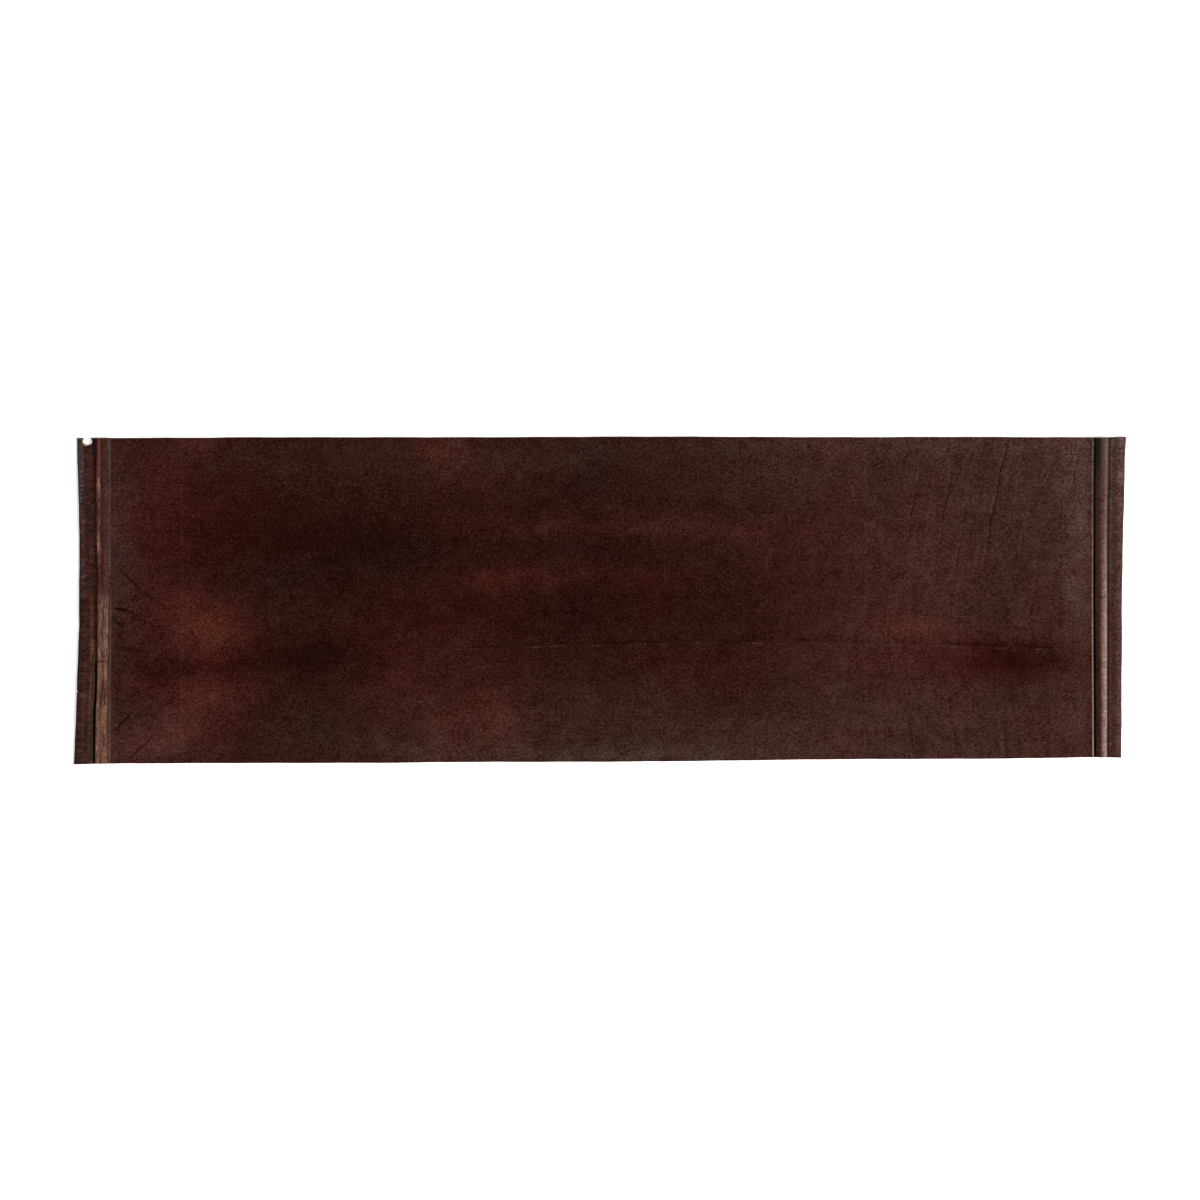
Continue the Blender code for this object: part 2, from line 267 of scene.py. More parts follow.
# Where it is yellower, or more purple below 0: the same columns, with the share of the blue.
WARM_PATCHES = [
    (-750, -45, 85, 70, 0.34), (-186, 26, 80, 30, 0.18), (-285, 277, 80, 40, 0.16),
    (-730, -200, 100, 70, 0.2), (600, -50, 120, 30, 0.12), (-533, -105, 90, 40, 0.28),
    (-440, 100, 180, 80, 0.12), (-910, -20, 40, 400, -0.1), (905, 150, 60, 200, -0.06),
]
# The patches' borders wander: rows of (size, x turns a metre, y turns a metre, phase), then the
# share of it across the hide, and how far that is shifted from the first.
PATCH_WANDER = [(0.006, 3.1, 7.3, 0.9), (0.004, 11.0, -8.0, 2.2), (0.003, -23.0, 19.0, 4.4)]
WANDER_ACROSS, WANDER_SHIFT = 0.7, 0.5

# Places along the hide where it was once folded across, with a faint pale mark left.
FOLD_MARKS = [-0.797, 0.509]
FOLD_MARK_HALF_WIDTH = 0.0045

# Short creases and scratches: rows of (x and y of each end, half width and depth in millimetres,
# and how much darker they are, or lighter below 0).
CREASES = [
    (661.4, -177.5, 683.4, -300, 2, 0.3, 0.42),
    (772, -215, 776.8, -300, 2, 0.3, 0.38),
    (-930, -15, -890, -23, 6, 0.8, 0.85),
    (-896, -21.5, -883, -33, 4.5, 0.4, 0.5),
    (-929, -38.2, -907, -51.5, 5, 0.7, 0.75),
    (-930, -90, -860, -98.5, 6, 0.3, 0.5),
    (-929, -250, -888, -212, 4.5, 0.7, 0.8),
    (-903, -308, -833, -242, 6.5, 0.5, 0.5),
    (-920.5, 61.1, -870.9, 17.2, 6.5, 0.5, 0.5),
    (-870.9, 17.2, -840.4, -7.6, 5.5, 0.3, 0.35),
    (-928, -25, -898, -33, 5, 0.1, -0.45),
    (918.6, 307.3, 895.7, 175.6, 2.6, 0.3, 0.45),
    (915.8, 307.3, 892.9, 175.6, 2.8, 0, -0.35),
    (794, -89, 906, -90.5, 3.4, 0.3, 0.55),
    (690, -82, 800, -86, 4.6, 0.2, 0.35),
    (811, -100, 869, -100.6, 2.2, 0.1, -0.4),
    (-769, -233, -764, -237, 2.4, 0.3, 0.7),
    (877, -96, 870, -108, 1.6, 0.3, -0.6),
    (877, -96, 885, -111, 1.6, 0.3, -0.6),
    (-924, 77, -918, 76, 1.6, 0.2, -1.0),
    (-533, -112.5, -486, -112.5, 1.4, 0.2, -0.6),
    (392, 23, 418, 11, 1.2, 0.15, -0.35),
    (124, 43, 133, 65, 1.2, 0.15, -0.35),
    (612, 236, 602, 269, 1.2, 0.15, -0.4),
    (-118, 183, -101, 164, 1.2, 0.15, -0.3),
    (230, -210, 261, -223, 1.2, 0.15, -0.3),
]


def number_property(name, description, default, **kind):
    return FloatProperty(name=name, description=description, default=default, **kind)


def colour_property(name, description, default):
    return FloatVectorProperty(
        name=name, description=description, default=default, size=3, min=0.0, max=1.0, subtype="COLOR"
    )


class HideSizes(bpy.types.PropertyGroup):
    thickness: number_property("Thickness", "Thickness of the leather", 0.003, unit="LENGTH")
    grain: number_property("Grain size", "Width of one pebble of the grain", 0.0022, unit="LENGTH")
    grain_height: number_property("Grain height", "Height of the pebbles", 0.00022, unit="LENGTH")
    roughness: number_property("Roughness", "Roughness of the polished grain", 0.37, subtype="FACTOR")


class HideColours(bpy.types.PropertyGroup):
    deep: colour_property("Deep brown", "Darkest leather", (0.0107, 0.0013, 0.0007))
    plain: colour_property("Plain red-brown", "Most of the leather", (0.0199, 0.0021, 0.0007))
    light: colour_property("Light red-brown", "Lightest leather", (0.0543, 0.0103, 0.0064))
    # Bloom: a grey bloom on the leather, with painted sheen and glints.
    bloom_and_sheen: colour_property("Bloom", "What four times a full grey bloom adds", (0.085, 0.0785, 0.0635))
    worn: colour_property("Worn tail roll", "Leather rubbed pale", (0.3, 0.16, 0.112))
    # The worn neck roll colour is rubbed leather and also the painted highlight on the neck roll's crest
    # and lip.
    rubbed_and_lit: colour_property("Worn neck roll", "Leather rubbed paler and greyer", (0.3, 0.195, 0.155))
    dusty: colour_property("Dusty flap", "The greyed flaps at the ends", (0.1, 0.072, 0.068))
    raw: colour_property("Raw edge", "Cut edges", (0.13, 0.062, 0.034))
    # Torn rim: raw fibres, painted lit on the side of the hole that faces the key light.
    lit_torn_fibres: colour_property("Torn rim", "Torn fibres round the hole", (0.32, 0.18, 0.095))
    flesh: colour_property("Flesh side", "The suede underside", (0.19, 0.105, 0.064))


class StageSizes(bpy.types.PropertyGroup):
    floor_side: number_property("Floor", "Side of the floor", 16.0, unit="LENGTH")
    floor_colour: colour_property("Floor colour", "Colour of the floor", (0.9, 0.9, 0.9))
    camera_height: number_property("Camera height", "Height of the camera", 12.727, unit="LENGTH")
    camera_lens: number_property("Lens", "Focal length in millimetres", 200.0)
    floor_glow: number_property("Floor glow", "Light of the lit floor itself", 0.62)
    key_power: number_property("Key light", "Strength of the key light", 5.6)
    key_width: number_property("Key width", "How wide the key light looks", 0.3, unit="ROTATION")
    horizon: number_property("Horizon", "Strength of the light from low down", 1.5)
    zenith: number_property("Zenith", "Strength of the light from above", 0.04)


# The key light comes from the neck end, a little from the near side, and low.
KEY_FROM = (0.8, -0.22, 0.53)
KEY_COLOUR = (1.0, 0.98, 0.96)
SKY_LOW, SKY_HIGH = 0.05, 0.65  # the horizon's light fades between these heights, 1 straight up
CAMERA_X = 0.0011  # the middle of the photograph's frame
FLOOR_DROP = 0.0003  # keeps the floor clear of the flesh side

# Colours of the backbone's line and of the folds' strips, some of them painted highlights and painted
# shade, as linear red, green and blue.
BACK_PALE = (0.13, 0.075, 0.06)
GOLDEN = (0.33, 0.185, 0.125)
FLAP_BROWN = (0.026, 0.0125, 0.007)
FLAP_TAN = (0.155, 0.066, 0.034)
CREASE_EDGE_HIGHLIGHT = (0.13, 0.105, 0.06)
CREST_PINK = (0.3, 0.08, 0.08)
FOOT_TAN = (0.24, 0.12, 0.07)
FOOT_PAINTED_GLINT = (0.16, 0.115, 0.07)
FOOT_SLATE_SHADE = (0.026, 0.0265, 0.0235)
FOOT_OLIVE = (0.022, 0.0165, 0.0105)
NECK_FILL_RED = (0.3, 0.13, 0.1)
NECK_TEAL_SHADE = (0.013, 0.0175, 0.0135)
NECK_FAR_CREST_WEAR_AND_HIGHLIGHT = (0.07, 0.058, 0.04)
NECK_TAN = (0.115, 0.074, 0.058)

# A mix factor stops at 1, so the Bloom colour, grey bloom and painted sheen, is four times a full bloom
# and counts a quarter.
BLOOM_FACTOR = 0.25
LEAST_BLOOM = 0.006
FOLD_MARK_BLOOM = 0.16
SPECULAR = 0.07


# ---- Shape


def smooth(rows, at):
    """The rows' second column where the first is at, on a curve that never overshoots the rows."""
    x, y = np.array(rows, float).T
    step = np.diff(x)
    slope = np.diff(y) / step
    tangent = np.zeros(len(x))
    tangent[0], tangent[-1] = slope[0], slope[-1]
    if len(x) > 2:
        before, after = slope[:-1], slope[1:]
        early, late = 2 * step[1:] + step[:-1], step[1:] + 2 * step[:-1]
        same_way = before * after > 0
        safe_before = np.where(same_way, before, 1.0)
        safe_after = np.where(same_way, after, 1.0)
        mean = (early + late) / (early / safe_before + late / safe_after)
        tangent[1:-1] = np.where(same_way, mean, 0.0)
    at = np.clip(np.asarray(at, float), x[0], x[-1])
    i = np.clip(np.searchsorted(x, at, side="right") - 1, 0, len(x) - 2)
    t = (at - x[i]) / step[i]
    rise = (2 * t**3 - 3 * t**2 + 1) * y[i] + (3 * t**2 - 2 * t**3) * y[i + 1]
    return rise + step[i] * ((t**3 - 2 * t**2 + t) * tangent[i] + (t**3 - t**2) * tangent[i + 1])


def ramp(low, high, at):
    """0 below low, 1 above high, and smooth between them."""
    t = np.clip((at - low) / (high - low), 0.0, 1.0)
    return t * t * (3 - 2 * t)


def waves(rows, at):
    return sum(size * np.sin(math.tau * turns * at + phase) for size, turns, phase in rows)


def flat_waves(rows, x, y):
    return sum(size * np.sin(math.tau * (a * x + b * y) + phase) for size, a, b, phase in rows)


def bow(x, y):
    """How far towards the neck end a line across the neck lies at y, if it meets the backbone at x."""
    away = np.abs(y - smooth(BACKBONE, x)) / BOW_HALF_SPAN
    return BOW * np.interp(x, *np.array(BOW_RAMP).T) * away**BOW_POWER


def across_at(start, end, share, y):
    """x on the line that runs this share of the way from start to end."""
    x = (1 - share) * smooth(start, y) + share * smooth(end, y)
    return x + bow(x, y)


def columns():
    """The start line, end line and share of each column of the mesh."""
    found = []
    for start, end, first, last, count in ZONES:
        found += [(start, end, share) for share in np.linspace(first, last, count, endpoint=False)]
    return found + [(NECK_GAP, NECK_EDGE, 1.0)]


def row_sides():
    """Where the rows of the mesh lie: -1 is the near edge, 0 the backbone and 1 the far edge."""
    sides = [0.0]
    for sign, half in zip((-1, 1), HALF_WIDTHS):
        inner, outer = NEAR_BACKBONE[-1], half - NEAR_RIM[-1]
        between = np.linspace(inner, outer, round((outer - inner) / ROW_STEP) + 1)[1:-1]
        distances = NEAR_BACKBONE + list(between) + [half - d for d in NEAR_RIM]
        sides += [sign * d / half for d in distances]
    return np.array(sorted(sides))


def flat_places():
    """x and y of every crossing of a column and a row, as two arrays."""
    sides = row_sides()
    xs, ys = [], []
    for start, end, share in columns():
        y = np.zeros(len(sides))
        for _ in range(EDGE_PASSES):
            x = across_at(start, end, share, y)
            edge = np.where(
                sides > 0,
                smooth(FAR_EDGE, x) + waves(EDGE_WAVES, x),
                smooth(NEAR_EDGE, x) + waves(EDGE_WAVES, x + NEAR_SHIFT),
            )
            back = smooth(BACKBONE, x)
            y = back + np.abs(sides) * (edge - back)
        end_share = {id(TAIL_EDGE): 1 - share, id(NECK_GAP): share}.get(id(start), 0.0)
        x = x + end_share**2 * waves(EDGE_WAVES, y + END_SHIFT) * END_GAIN
        xs.append(x)
        ys.append(y)
    return np.array(xs), np.array(ys)


def fold_place(x, y, lines):
    """How many of the lines x has passed at y, with the share of the way to the next one."""
    at = [smooth(line, y) for line in lines]
    place = np.zeros(np.shape(x))
    for before, after in zip(at, at[1:]):
        place = place + np.clip((x - before) / (after - before), 0.0, 1.0)
    return place


def tail_place(x, y):
    past_foot = np.maximum(x - smooth(TAIL_FOOT, y), 0.0) / PAST_FOOT_STEP
    return fold_place(x, y, (TAIL_EDGE, TAIL_CREASE, TAIL_FOOT)) + past_foot


def neck_place(x, y):
    return fold_place(x, y, (NECK_SHOULDER, NECK_CREASE, NECK_GAP, NECK_EDGE))


def unbowed(x, y):
    """The x at the backbone of the neck line that passes through x, y."""
    base = x
    for _ in range(BOW_PASSES):
        base = x - bow(base, y)
    return base


def roll_swell(y):
    return 1.0 + sum(share * np.sin(math.tau * y / wave + phase) for share, wave, phase in ROLL_WAVES)


def underside(x, y):
    """The height of the flesh side."""
    tail, neck = tail_place(x, y), neck_place(x, y)
    far = ramp(FAR_SIDE_FROM, FAR_SIDE_TO, y)
    tail_lift = (1 - far) * smooth(TAIL_SECTION, tail) + far * smooth(FAR_TAIL_SECTION, tail)
    tail_lift = tail_lift * np.where((tail > 1) & (tail < 2), roll_swell(y), 1.0)
    neck_lift = smooth(NECK_SECTION, neck) * np.where((neck > 1) & (neck < 2), roll_swell(y), 1.0)
    return np.where(x < 0, tail_lift, neck_lift * (neck > 0))


def window(low, high, at):
    """1 in the middle between low and high, and 0 at both."""
    return np.sin(math.pi * np.clip((at - low) / (high - low), 0.0, 1.0)) ** WRINKLE_FADE


def relief(x, y):
    """What the sheet's small forms add to its thickness on the grain side."""
    base, off = unbowed(x, y), y - smooth(BACKBONE, x)
    along_back = np.interp(x, *np.array(RIDGE_FADE).T)
    height = flat_waves(SHEET_WAVES, x, y)
    height += along_back * RIDGE_HEIGHT * np.exp(-((off / RIDGE_HALF_WIDTH) ** 2))
    height -= along_back * FURROW_DEPTH * np.exp(-(((off - FURROW_OFFSET) / RIDGE_HALF_WIDTH) ** 2))
    for at, low, high, depth in WRINKLES:
        sway = WRINKLE_SWAY * np.sin(math.tau * y / SWAY_LENGTH + SWAY_SHIFT * at)
        d = (base - at - sway) / WRINKLE_HALF_WIDTH
        trough = np.exp(-(d**2)) - LIP_SHARE * np.exp(-((np.abs(d) - LIP_OFFSET) ** 2))
        height -= TROUGH_SHARE * depth * window(low, high, y) * trough
    return height


def rim_distance(x, y):
    """Distance from the nearest cut edge, the torn hole's included."""
    sides = [
        smooth(FAR_EDGE, x) - y,
        y - smooth(NEAR_EDGE, x),
        x - smooth(TAIL_EDGE, y),
        smooth(NECK_EDGE, y) - x,
        np.hypot(x - HOLE_CENTRE[0], y - HOLE_CENTRE[1]) - HOLE_RADIUS,
    ]
    return np.maximum(np.minimum.reduce(sides), 0.0)


def patches(rows, x, y):
    """The sum of soft patches at x, y, with wandering borders."""
    x = x + flat_waves(PATCH_WANDER, x, y)
    y = y + WANDER_ACROSS * flat_waves(PATCH_WANDER, y, x + WANDER_SHIFT)
    total = np.zeros(np.shape(x))
    for *place, strength, turn in (row if len(row) == 6 else (*row, 0) for row in rows):
        px, py, half_length, half_width = (size / 1000 for size in place)
        angle = math.radians(turn)
        c, s = math.cos(angle), math.sin(angle)
        u = ((x - px) * c + (y - py) * s) / half_length
        v = ((y - py) * c - (x - px) * s) / half_width
        total += strength * np.exp(-(u * u + v * v))
    return total


def points_of(mesh):
    points = np.empty(len(mesh.vertices) * 3)
    mesh.vertices.foreach_get("co", points)
    return points.reshape(-1, 3)


def finished_mesh(bm, name):
    """A mesh of what bm holds, which is then freed."""
    mesh = bpy.data.meshes.new(name)
    bm.to_mesh(mesh)
    bm.free()
    return mesh


def added(name, data):
    """A new object with this data, linked to the scene."""
    item = bpy.data.objects.new(name, data)
    bpy.context.collection.objects.link(item)
    return item


def sheet_mesh(thickness):
    """The hide's mesh: a grid laid on its columns and rows, then given the leather's thickness."""
    x, y = flat_places()
    last_column, last_row = x.shape[0] - 1, x.shape[1] - 1
    bm = bmesh.new()
    bmesh.ops.create_grid(bm, x_segments=last_column, y_segments=last_row, size=1.0)
    for v in bm.verts:
        column = round((v.co.x + 1) / 2 * last_column)
        row = round((v.co.y + 1) / 2 * last_row)
        v.co = (x[column, row], y[column, row], 0.0)
    raised = bmesh.ops.extrude_face_region(bm, geom=bm.faces[:])["geom"]
    upper = [item for item in raised if isinstance(item, bmesh.types.BMVert)]
    bmesh.ops.translate(bm, verts=upper, vec=(0.0, 0.0, thickness))
    bmesh.ops.recalc_face_normals(bm, faces=bm.faces[:])
    return finished_mesh(bm, "hide")


def raise_folds(mesh, thickness):
    """Lifts the flat sheet into its folds, wrinkles and rounded edges."""
    points = points_of(mesh)
    x, y, z = points.T
    on_grain = z > thickness / 2
    rounding = RIM_ROUNDING * (1 - ramp(0.0, RIM_REACH, rim_distance(x, y))) ** 2
    points[:, 2] = underside(x, y) + on_grain * (thickness + relief(x, y) - rounding)
    mesh.vertices.foreach_set("co", points.ravel())
    mesh.update()


def upright_bar(bm, sides, radius, centre):
    """A bar with this many sides, standing on end through centre. Returns its vertices."""
    bar = bmesh.ops.create_cone(
        bm, cap_ends=True, segments=sides, radius1=radius, radius2=radius, depth=CUTTER_HEIGHT,
        matrix=Matrix.Translation((*centre, 0.0)),
    )
    return bar["verts"]


def hole_cutter():
    """An uneven round bar through the corner, and a three-sided one through the tail edge."""
    bm = bmesh.new()
    upright_bar(bm, 3, NICK_RADIUS, NICK_CENTRE)
    for v in upright_bar(bm, HOLE_SIDES, HOLE_RADIUS, HOLE_CENTRE):
        dx, dy = v.co.x - HOLE_CENTRE[0], v.co.y - HOLE_CENTRE[1]
        around = math.atan2(dy, dx)
        stretch = 1.0 + sum(share * math.cos(lobes * around + phase) for share, lobes, phase in HOLE_LOBES)
        v.co.x = HOLE_CENTRE[0] + stretch * dx
        v.co.y = HOLE_CENTRE[1] + stretch * dy
    return added("hole_cutter", finished_mesh(bm, "hole_cutter"))


def tear_hole(piece):
    """Cuts the torn hole, and leaves the piece with a plain mesh."""
    cutter = hole_cutter()
    cut = piece.modifiers.new("torn_hole", "BOOLEAN")
    cut.operation = "DIFFERENCE"
    cut.solver = "EXACT"
    cut.object = cutter
    graph = bpy.context.evaluated_depsgraph_get()
    whole = piece.data
    piece.data = bpy.data.meshes.new_from_object(piece.evaluated_get(graph))
    piece.modifiers.clear()
    bpy.data.meshes.remove(whole)
    bpy.data.objects.remove(cutter, do_unlink=True)


def mark_surface(mesh, thickness):
    """Gives each point what the finish follows: its place on the hide and in the folds, and patches."""
    x, y, z = points_of(mesh).T
    marks = {
        "along": x,
        "across": y,
        "tail_fold": tail_place(x, y),
        "neck_fold": neck_place(x, y),
        "neck_line": unbowed(x, y),
        "off_back": y - smooth(BACKBONE, x),
        "tone": patches(TONE_PATCHES, x, y),
        "bloom_and_sheen": patches(BLOOM_AND_SHEEN_PATCHES, x, y),
        "red": patches(RED_PATCHES, x, y),
        "warm": patches(WARM_PATCHES, x, y),
        "rim": rim_distance(x, y),
        "flesh": z < underside(x, y) + thickness / 2,
    }
    for name, values in marks.items():
        attribute = mesh.attributes.new(name, "FLOAT", "POINT")
        attribute.data.foreach_set("value", np.asarray(values, np.float32))
    corners = np.empty(len(mesh.loops), np.int32)
    mesh.loops.foreach_get("vertex_index", corners)
    bowed = np.stack((marks["neck_line"], y), axis=1)[corners]
    mesh.uv_layers.new(name="bowed").data.foreach_set("uv", bowed.astype(np.float32).ravel())


# ---- Finish


def arithmetic(operation, turned=False):
    """A method of Wire that adds one Math node, with the wire as its last operand if turned."""

    def method(self, *others):
        return self.shader.math(operation, *((*others, self) if turned else (self, *others)))

    return method


class Wire:
    """A number that varies over the surface. Arithmetic on it adds the Math nodes."""

    def __init__(self, shader, socket):
        self.shader, self.socket = shader, socket

    __add__, __radd__ = arithmetic("ADD"), arithmetic("ADD", turned=True)
    __sub__, __rsub__ = arithmetic("SUBTRACT"), arithmetic("SUBTRACT", turned=True)
    __mul__, __rmul__ = arithmetic("MULTIPLY"), arithmetic("MULTIPLY", turned=True)
    __rpow__ = arithmetic("POWER", turned=True)
    __abs__ = arithmetic("ABSOLUTE")


class Shader:
    """Builds the nodes of one material or world."""

    def __init__(self, owner, surface="Principled BSDF", place="Object"):
        owner.use_nodes = True
        self.owner, self.tree = owner, owner.node_tree
        self.surface = self.tree.nodes[surface]
        self.place = self.node("ShaderNodeTexCoord", {}, {}, place)

    def connect(self, value, socket):
        if isinstance(value, Wire):
            self.tree.links.new(value.socket, socket)
        elif hasattr(value, "__len__") and len(value) == 3 and len(socket.default_value) == 4:
            socket.default_value = (*value, 1.0)
        else:
            socket.default_value = value

    def node(self, kind, settings, inputs, output=0):
        made = self.tree.nodes.new(kind)
        for name, value in settings.items():
            setattr(made, name, value)
        for name, value in inputs.items():
            self.connect(value, made.inputs[name])
        return Wire(self, made.outputs[output])

    def finish(self, values):
        """Sets or links inputs of the surface."""
        for name, value in values.items():
            self.connect(value, self.surface.inputs[name])

    def math(self, operation, *values):
        return self.node("ShaderNodeMath", {"operation": operation}, dict(enumerate(values)))

    def attribute(self, name):
        return self.node("ShaderNodeAttribute", {"attribute_name": name}, {}, "Fac")

    def scaled_place(self, size, stretch, seed=0.0, place=None):
        """The place, counted in blotches of this size, each longer by stretch along each axis."""
        scale = tuple(1.0 / (size * s) for s in stretch)
        offset = (seed * 3.7, seed * 5.1, seed * 1.3)
        inputs = {"Vector": place or self.place, "Scale": scale, "Location": offset}
        return self.node("ShaderNodeMapping", {}, inputs)

    def noise(self, size, along=1.0, across=1.0, up=1.0, detail=3.0, rough=0.55, seed=0.0, place=None):
        """Smooth noise around 0, mostly within 0.3 of it. size is its largest blotches' width."""
        mapped = self.scaled_place(size, (along, across, up), seed, place)
        inputs = {"Vector": mapped, "Scale": 1.0, "Detail": detail, "Roughness": rough}
        return self.node("ShaderNodeTexNoise", {"noise_dimensions": "3D"}, inputs) - 0.5

    def cells(self, size, along):
        """0 in the middle of each cell, rising to about 0.7 between the cells."""
        inputs = {"Vector": self.scaled_place(size, (along, 1.0, 1.0)), "Scale": 1.0}
        return self.node("ShaderNodeTexVoronoi", {"feature": "F1"}, inputs, "Distance")

    def share(self, value, low, high, curve="LINEAR"):
        """0 where value is at low, 1 where it is at high, and on past them: a mix clamps it itself."""
        settings = {"interpolation_type": curve, "clamp": False}
        inputs = {"Value": value, "From Min": low, "From Max": high}
        return self.node("ShaderNodeMapRange", settings, inputs)

    def rise(self, value, low, high):
        """0 where value is at low, 1 where it is at high, smooth between. low may be the higher."""
        return self.share(value, low, high, "SMOOTHSTEP")

    def band(self, value, start, full, fade, end):
        """1 from full to fade, and 0 before start and past end."""
        return self.rise(value, start, full) * self.rise(value, end, fade)

    def mix(self, factor, first, second, blend="MIX"):
        settings = {"data_type": "RGBA", "blend_type": blend}
        return self.node("ShaderNodeMix", settings, {0: factor, 6: first, 7: second}, 2)

    def shade(self, colour, factor):
        """The colour times a number, or times three for its red, green and blue."""
        red, green, blue = factor if isinstance(factor, tuple) else (factor, factor, factor)
        both = self.node("ShaderNodeCombineColor", {}, {0: red, 1: green, 2: blue})
        return self.mix(1.0, colour, both, "MULTIPLY")


def mottling(s):
    """The uneven take-up of the dye, around 0, from blotches of 30 mm down to specks of 2 mm."""
    fine = s.noise(0.0036, along=1.3, detail=1.0, rough=1.0, seed=3.0)
    middle = s.noise(0.022, along=1.6, detail=1.0, rough=0.5, seed=2.0)
    return 2.95 * fine + 0.62 * middle


def panel_colour(s, colours, mottle):
    """The dyed grain: patches of light and dark broken up by mottling, under a grey bloom that is partly
    painted sheen, with painted glints that follow the mottling.
    """
    large = s.noise(0.08, along=1.3, rough=0.75, seed=1.0)
    tone = s.attribute("tone") + large
    colour = s.mix(s.share(tone, -1.0, 0.0), colours.deep, colours.plain)
    colour = s.mix(s.share(tone, 0.0, 1.25), colour, colours.light)
    brown = s.noise(0.12, detail=1.0, rough=0.6, seed=17.0)
    purple = 0.45 * s.noise(0.08, detail=1.0, rough=0.6, seed=18.0)
    purple = purple + 0.22 * s.rise(s.attribute("along"), -0.4, -0.85)
    tint = (1.0 - s.attribute("red")) * (1.0 + 0.75 * s.noise(0.018, detail=1.0, rough=0.8, seed=26.0))
    cold = (1.0 - s.attribute("warm")) * (1.0 + 0.5 * s.noise(0.018, detail=1.0, rough=0.8, seed=27.0))
    colour = s.shade(colour, (1.0, (1.0 + 0.5 * brown) * tint, (1.0 + purple) * tint * cold))
    cloud = s.noise(0.035, detail=2.0, rough=0.7, seed=4.0)
    # Grey bloom and painted sheen; the share that follows the mottling is painted glints of the grain.
    haze_and_sheen = s.attribute("bloom_and_sheen") * (1.0 + cloud) + 0.16 * cloud + 0.19 * mottle + 0.125
    x = s.attribute("along")
    for mark in FOLD_MARKS:
        haze_and_sheen = haze_and_sheen + FOLD_MARK_BLOOM * s.rise(abs(x - mark), FOLD_MARK_HALF_WIDTH, 0.0)
    bloom_and_sheen = s.math("MAXIMUM", BLOOM_FACTOR * haze_and_sheen, LEAST_BLOOM)
    colour = s.mix(bloom_and_sheen, colour, colours.bloom_and_sheen, "ADD")
    return s.shade(colour, (1.0 + 0.7 * mottle, 1.0 + 1.15 * mottle, 1.0 + 1.4 * mottle))


def torn_rim(s, x, y, colour, colours):
    """Round the torn hole: a ring of painted shade, and tan fibres towards the tail edge, painted lit
    where the wall faces the key light.
    """
    dx, dy = x - HOLE_CENTRE[0], y - HOLE_CENTRE[1]
    reach = s.math("SQRT", dx * dx + dy * dy)
    near = s.rise(reach + 0.003 * s.noise(0.004, seed=12.0), HOLE_RADIUS + 0.0042, HOLE_RADIUS + 0.0016)
    tan = s.rise(dx, 0.001, -0.005)
    # painted shade on the hole's rim, then the tan fibres painted lit on its tail side
    colour = s.shade(colour, 1.0 - 0.6 * near)
    return s.mix(0.8 * near * tan, colour, colours.lit_torn_fibres)


def back_line(s, colour):
    """The backbone: painted shade along its soft furrow, and a thin, broken, pale line on the ridge."""
    off = s.attribute("off_back")
    x = s.attribute("along")
    there = s.band(x, -0.36, -0.22, 0.86, 0.93)
    patchy = s.noise(0.06, across=0.1, rough=0.8, seed=5.0)
    broken = s.rise(s.noise(0.016, across=0.3, detail=2.0, rough=0.8, seed=19.0), -0.06, 0.12)
    worn = s.rise(s.noise(0.03, along=1.6, rough=0.9, seed=21.0), -0.12, 0.22)
    wander = off + 0.007 * s.noise(0.05, seed=6.0) + 0.004 * s.noise(0.012, seed=20.0)
    pale = s.band(wander, -0.0018, -0.0004, 0.0004, 0.0018) * there * broken * s.rise(patchy, -0.08, 0.12)
    # painted shade along the furrow on the far side of the ridge, broken up by noise
    dark = s.band(wander, 0.0, 0.003, 0.0044, 0.013) * there * worn
    colour = s.shade(colour, (1.0 - 0.42 * dark, 1.0 - 0.56 * dark, 1.0 - 0.56 * dark))
    return s.mix(0.45 * pale, colour, BACK_PALE)


def neck_lines(s, colour):
    """The neck wrinkles' fine lines: painted shade in the furrow, and a painted red highlight on its tail
    side, the wall that faces the key light.
    """
    line, y = s.attribute("neck_line"), s.attribute("across")
    broken = s.rise(s.noise(0.026, rough=0.9, seed=7.0), -0.26, 0.16)
    dark, light = 0.0, 0.0
    for at, low, high, depth in WRINKLES:
        sway = s.math("SINE", y * (math.tau / SWAY_LENGTH) + SWAY_SHIFT * at)
        off = line - at - WRINKLE_SWAY * sway
        span = high - low
        there = s.band(y, low, low + 0.3 * span, high - 0.2 * span, high)
        there = there * min(1.0, depth / FULL_LINE_DEPTH)
        # painted shade in each furrow, and a painted highlight on the wall that faces the key light
        dark = dark + s.band(off, -0.0004, 0.0007, 0.0015, 0.0028) * there
        light = light + s.band(off, -0.0048, -0.0026, -0.0014, -0.0002) * there
    pink = 1.0 + (0.18 * light - 0.8 * dark) * broken
    return s.shade(colour, (1.0 + (0.45 * light - 0.8 * dark) * broken, pink, pink))


def neck_skin(s):
    """Faint close wrinkles across the neck, around 0, as far as 0.3 from it."""
    bowed = s.node("ShaderNodeUVMap", {"uv_map": "bowed"}, {})
    close = s.noise(0.011, across=9.0, detail=2.0, rough=0.6, seed=16.0, place=bowed)
    return close * s.band(s.attribute("along"), 0.3, 0.56, 0.88, 0.93)


def stroke(s, x, y, place):
    """1 on a crease's line, fading to 0 at its half width and past its ends."""
    x0, y0, x1, y1, half = (size / 1000 for size in place)
    length = math.hypot(x1 - x0, y1 - y0)
    ux, uy = (x1 - x0) / length, (y1 - y0) / length
    along = ux * x + uy * y - (x0 * ux + y0 * uy)
    off = uy * x - ux * y - (x0 * uy - y0 * ux)
    ends = s.band(along, -half, 0.3 * length, 0.5 * length, length + half)
    return s.rise(abs(off), half, 0.0) * ends


